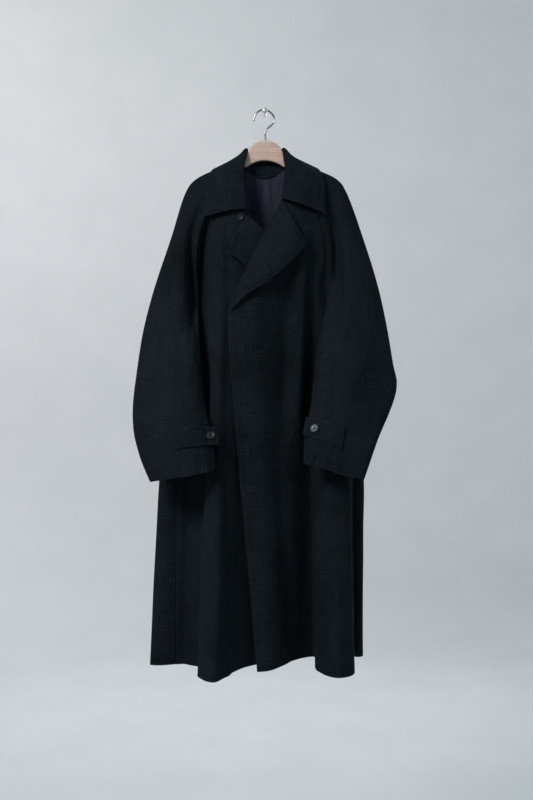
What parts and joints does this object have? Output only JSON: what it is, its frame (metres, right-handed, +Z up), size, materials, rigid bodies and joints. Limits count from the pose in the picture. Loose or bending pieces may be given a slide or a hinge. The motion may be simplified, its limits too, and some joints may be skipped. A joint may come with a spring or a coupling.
{
  "type": "coat on a hanger",
  "caption": "Long loose linen coat with raglan sleeves, wide collar and open lapels, fronts overlapped, on a wooden hanger whose hook hangs over a wall pin",
  "frame": {"origin": "middle of the wall end of the pin that holds the hook, on the wall", "axes": "+Z up, +X to the right of a viewer who faces the wall, -Y out from the wall towards the viewer"},
  "size_m": [0.6165, 0.2289, 1.3368],
  "materials": {
    "linen": "matte, slubby plain weave",
    "lining": "smooth, slight sheen",
    "beech": "satin",
    "steel_wire": "satin",
    "steel_pin": "satin",
    "horn": "semi-gloss",
    "pearl": "semi-gloss"
  },
  "bodies": {
    "root": {"back": "linen", "front_right": "linen", "front_left": "linen", "sleeve_right_front": "linen", "sleeve_right_back": "linen", "sleeve_left_front": "linen", "sleeve_left_back": "linen", "collar": "linen", "collar_stand": "linen", "lapel_right": "linen", "lapel_left": "linen", "lining_back": "lining", "hanger": "beech", "hanger_hook": "steel_wire", "wall_pin": "steel_pin", "cuff_tab_right": "linen", "cuff_tab_left": "linen", "cuff_button_right": "horn", "cuff_button_left": "pearl", "neck_button": "horn"}
  },
  "joints": []
}
